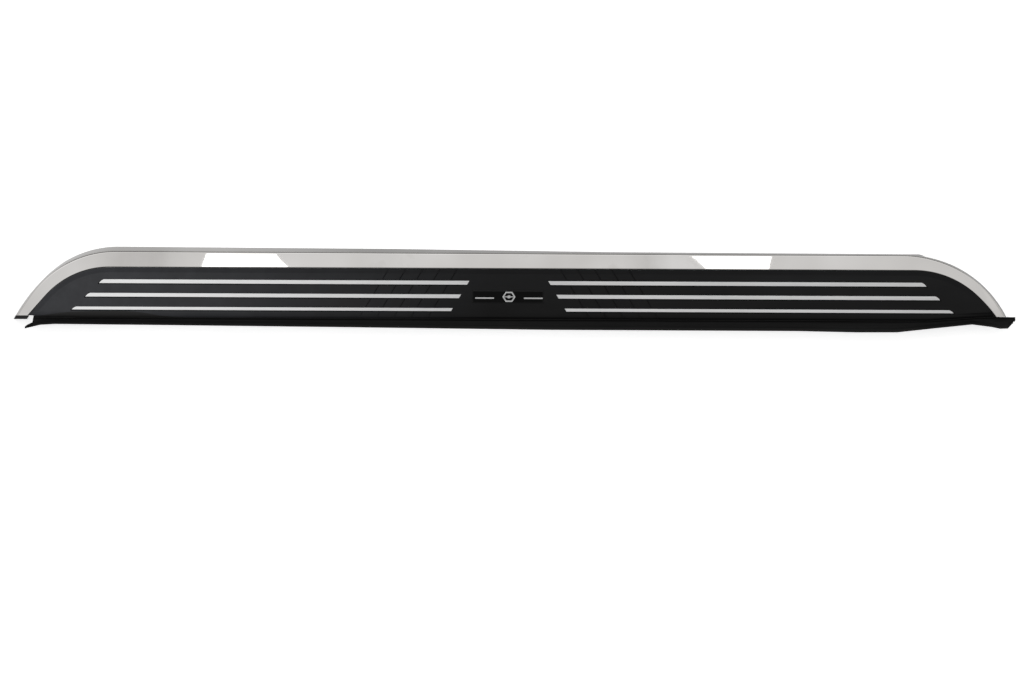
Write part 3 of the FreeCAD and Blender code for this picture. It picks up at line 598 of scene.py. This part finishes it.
def stud_rings(x, y, low, neck, head, top):
    """One stud as rings from its point up: thread, knurled neck and flat head. In millimetres."""
    around = np.linspace(0, 2 * math.pi, ROUND_STEPS, endpoint=False)
    rings = []

    def ring(z, radius):
        rings.append(np.column_stack([x + radius * np.cos(around), y + radius * np.sin(around),
                                      np.full(ROUND_STEPS, z)]))

    for z in np.arange(low, neck, THREAD_PITCH / THREAD_STEPS):
        turn = (z / THREAD_PITCH - around / (2 * math.pi)) % 1.0
        ease = min(1.0, (neck - z) / THREAD_PITCH)
        crest = STUD_RADIUS - THREAD_DEPTH * ease * (1 - np.abs(2 * turn - 1))
        ring(z, np.minimum(crest, STUD_RADIUS - max(0.0, POINT_TAPER - (z - low))))
    knurl = NECK_RADIUS - KNURL_DEPTH * (1 - np.cos(around * KNURLS))
    ring(neck, np.full(ROUND_STEPS, STUD_RADIUS))
    ring(neck, knurl)
    ring(head, knurl)
    for z, radius in ((head, HEAD_RADIUS - HEAD_UNDER_EDGE), (head + HEAD_UNDER_EDGE, HEAD_RADIUS),
                      (top - HEAD_TOP_EDGE, HEAD_RADIUS), (top, HEAD_RADIUS - HEAD_TOP_EDGE)):
        ring(z, np.full(ROUND_STEPS, radius))
    return np.array(rings) * MM


def make_studs(material):
    """Threaded studs in place of the plain ones, at the places that the CAD nodes have."""
    for number in range(1, 5):
        low_corner, high_corner = (np.array(corner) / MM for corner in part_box("stud_pair_" + str(number)))
        plate_low, plate_high = (np.array(corner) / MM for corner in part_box("stud_plate_" + str(number)))
        y = (low_corner[1] + high_corner[1]) / 2
        for side, x in (("a", low_corner[0] + HEAD_RADIUS), ("b", high_corner[0] - HEAD_RADIUS)):
            rings = stud_rings(x, y, low_corner[2], plate_low[2], plate_high[2], high_corner[2])
            obj = tube_mesh("threaded_stud_" + str(number) + side, rings)
            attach(obj, "slider_" + str(number))
            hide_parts("stud_pair_" + str(number))
            paint(obj, material)


# ---- CAD nodes that keep their shape ----------------------------------------------------------------

def dress_cad_nodes():
    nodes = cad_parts
    support = moulded_black("support_plastic", 0.016, 0.6, 1800.0, 0.00012)
    tread = moulded_black("tread_plastic", 0.0025, 0.33, 2600.0, 0.00005, TREAD_PAINTED_SHEEN,
                          TREAD_HEIGHT - RECESS_DEPTH)
    cap = moulded_black("cap_plastic", 0.012, 0.5, 1800.0, 0.0001)
    core = brushed_aluminium("core_aluminium", 0.75, 0.38)
    strip = brushed_aluminium("strip_aluminium", 0.9, 0.36, 9000.0)
    screws = zinc_steel("screw_steel", 0.5, 0.35)
    plates = zinc_steel("plate_steel", 0.5, 0.42)
    bright = satin_steel()
    gloss = gloss_black()
    for name, obj in nodes.items():
        if name.startswith("inlay_strip"):
            paint(obj, strip)
        elif name.startswith("stud_plate"):
            paint(obj, plates)
        elif name.endswith("screws"):
            paint(obj, screws)
        elif name in ("trim_carrier", "end_support_left", "end_support_right"):
            paint(obj, support)
        elif name.startswith("trim_end_cap"):
            paint(obj, cap)
        elif name == "tread_cover":
            paint(obj, tread)
        elif name == "core_beam":
            paint(obj, core)
        elif name == "badge_plate":
            paint(obj, gloss)
        elif name.startswith("badge"):
            paint(obj, bright)


# ---- stage ------------------------------------------------------------------------------------------

CAMERA_HEIGHT = 40.0
CAMERA_REACH = 100.0
SENSOR_WIDTH = 36.0
VIEW_WIDTH = 1.9532
VIEW_CENTRE = (-0.00013, -0.09975)
VIEW_ROLL = 0.0044

# brightness of the studio by height of view: (sine of the elevation, brightness)
SKY = ((0.0, 0.08), (0.30, 0.14), (0.50, 0.30), (0.62, 1.30), (0.74, 1.25), (0.84, 0.90), (0.90, 0.92),
       (0.945, 0.97), (0.965, 0.80), (0.985, 0.42), (0.996, 0.28), (0.9985, 0.10), (1.0, 0.10))
# how far sideways a view has to point, as the cosine of its angle from X, to see the lit end walls
WALL_X = (0.42, 0.62)
WALL_BRIGHTNESS = 0.75
# the studio is dimmer on the vehicle's side: the brightness runs from one share to the other between these
# values of the view's Y
SIDE_Y = (-0.5, 0.0)
SIDE_SHARE = (0.35, 1.0)
FLOOR_GLOW = 0.60
FLOOR_HALF = 60.0
FLOOR_SINK = 0.0002

# bright cards that the sloping band mirrors: (ends of the patch along the band's outer edge, ends along
# its inner edge, brightness), with the ends in metres along the board
CARDS = (((-0.5875, -0.4504), (-0.5915, -0.4390), 3.2), ((0.345, 0.489), (0.3615, 0.4860), 3.2))
CARD_HEIGHT = 0.9
# how far a card goes past the band on both sides, as a share of the band's width
CARD_SPARE = 1.2
RIDGE_Y = 70.0
BAND_TILT = math.atan2(BAND_TOP - RIDGE_TOP, RIDGE_Y - BAND_Y)

# the flag's near and far edges and its height, in millimetres from the skirt's foot
FLAG_REACH = (0.5, 300.0)
FLAG_HEIGHT = 0.4
# its grey at the left and at the right, and where one turns into the other, in metres
FLAG_GREY = (0.62, 0.42)
FLAG_FADE_X = (-0.55, -0.30)

# soft light over the left end: place, what it points at, size, all in metres, and power
OVERHEAD = ((-1.0, 0.02, 1.9), (-1.0, 0.02, 0), (0.95, 0.6), 1.5)


def make_camera():
    data = bpy.data.cameras.new("camera")
    data.sensor_width = SENSOR_WIDTH
    data.lens = data.sensor_width * (CAMERA_HEIGHT - TREAD_HEIGHT) / VIEW_WIDTH
    data.clip_end = CAMERA_REACH
    camera = bpy.data.objects.new("camera", data)
    camera.location = (*VIEW_CENTRE, CAMERA_HEIGHT)
    camera.rotation_euler = (0.0, 0.0, VIEW_ROLL)
    bpy.context.scene.collection.objects.link(camera)
    bpy.context.scene.camera = camera


def glowing(name, brightness):
    material = bpy.data.materials.new(name)
    material.use_nodes = True
    tree = material.node_tree
    tree.nodes.remove(tree.nodes["Principled BSDF"])
    emission = tree.nodes.new("ShaderNodeEmission")
    emission.inputs["Strength"].default_value = brightness
    tree.links.new(emission.outputs[0], tree.nodes["Material Output"].inputs["Surface"])
    return material


def show_in_reflections_only(obj):
    obj.visible_camera = False
    obj.visible_diffuse = False
    obj.visible_shadow = False


def make_card(number, outer, inner, brightness):
    """A card seen only in reflections, where the band shows it at the given places from above."""
    spread = 1 + CARD_HEIGHT / CAMERA_HEIGHT
    lean = CARD_HEIGHT * math.tan(2 * BAND_TILT)
    corners = []
    for end, share in ((0, -CARD_SPARE), (0, 1 + CARD_SPARE), (1, 1 + CARD_SPARE), (1, -CARD_SPARE)):
        x = inner[end] + (outer[end] - inner[end]) * share
        y = (BAND_Y + (RIDGE_Y - BAND_Y) * share) * MM
        corners.append((x * spread, y * spread + lean, CARD_HEIGHT))
    card = mesh_object("card_" + str(number), corners, [(0, 1, 2, 3)])
    paint(card, glowing("card_glow_" + str(number), brightness))
    show_in_reflections_only(card)


def make_flag():
    """Grey card flat on the floor beside the skirt, which only reflections show, to darken the skirt."""
    near = rail(SKIRT_FOOT, -FLAG_REACH[0], FLAG_HEIGHT)
    far = rail(SKIRT_FOOT, -FLAG_REACH[1], FLAG_HEIGHT)
    count = len(near)
    faces = [(i, i + 1, count + i + 1, count + i) for i in range(count - 1)]
    flag = mesh_object("flag", np.vstack([near, far]), faces)
    m = Nodes("flag_grey")
    m.set(Base_Color=grey(0.0), Specular_IOR_Level=0.0, Emission_Color=grey(1.0),
          Emission_Strength=m.ramp(m.axis("X"), *FLAG_FADE_X, *FLAG_GREY))
    paint(flag, m.material)
    show_in_reflections_only(flag)


def soft_box(name, centre, target, size, power):
    data = bpy.data.lights.new(name, "AREA")
    data.shape = "RECTANGLE"
    data.size, data.size_y = size
    data.energy = power
    light = bpy.data.objects.new(name, data)
    light.location = centre
    light.rotation_euler = (Vector(target) - Vector(centre)).to_track_quat("-Z", "Y").to_euler()
    light.visible_camera = False
    bpy.context.scene.collection.objects.link(light)


def make_world():
    """Studio round the board: dark low down, bright at mid height, dimmer straight overhead."""
    world = bpy.data.worlds.new("studio")
    bpy.context.scene.world = world
    world.use_nodes = True
    tree = world.node_tree
    direction = tree.nodes.new("ShaderNodeTexCoord").outputs["Generated"]
    split = tree.nodes.new("ShaderNodeSeparateXYZ")
    tree.links.new(direction, split.inputs[0])
    ramp = tree.nodes.new("ShaderNodeValToRGB")
    tree.links.new(split.outputs["Z"], ramp.inputs[0])
    stops = ramp.color_ramp.elements
    while len(stops) < len(SKY):
        stops.new(0.5)
    for stop, (height, brightness) in zip(stops, SKY):
        stop.position = height
        stop.color = (brightness, brightness, brightness, 1.0)
    side = map_range(tree, split.outputs["Y"], *SIDE_Y, *SIDE_SHARE)
    scaled = tree.nodes.new("ShaderNodeVectorMath")
    scaled.operation = "SCALE"
    tree.links.new(ramp.outputs["Color"], scaled.inputs[0])
    tree.links.new(side, scaled.inputs["Scale"])
    sideways = tree.nodes.new("ShaderNodeMath")
    sideways.operation = "ABSOLUTE"
    tree.links.new(split.outputs["X"], sideways.inputs[0])
    wall = map_range(tree, sideways.outputs["Value"], *WALL_X, 0.0, 1.0)
    mixed = mix_colours(tree, wall, scaled.outputs["Vector"], grey(WALL_BRIGHTNESS))
    tree.links.new(mixed, tree.nodes["Background"].inputs["Color"])


def make_stage():
    corners = [(x * FLOOR_HALF, y * FLOOR_HALF, 0.0) for x, y in ((-1, -1), (1, -1), (1, 1), (-1, 1))]
    floor = mesh_object("floor", corners, [(0, 1, 2, 3)])
    floor.location.z = -FLOOR_SINK
    m = Nodes("pale_floor")
    cloud = m.noise(0.8, 3.0, 0.5)
    m.set(Base_Color=m.mix(cloud, grey(0.90), grey(0.93)), Roughness=0.8, Emission_Color=grey(1.0),
          Emission_Strength=FLOOR_GLOW, Specular_IOR_Level=0.0)
    paint(floor, m.material)
    make_world()
    for number, (outer, inner, brightness) in enumerate(CARDS, 1):
        make_card(number, outer, inner, brightness)
    make_flag()
    soft_box("overhead_left", *OVERHEAD)


bpy.context.scene.view_settings.view_transform = "Standard"
make_camera()
make_stage()
dress_cad_nodes()
make_trim(polished_steel())
make_seal(rubber())
make_studs(zinc_steel("stud_steel", 0.62, 0.32))
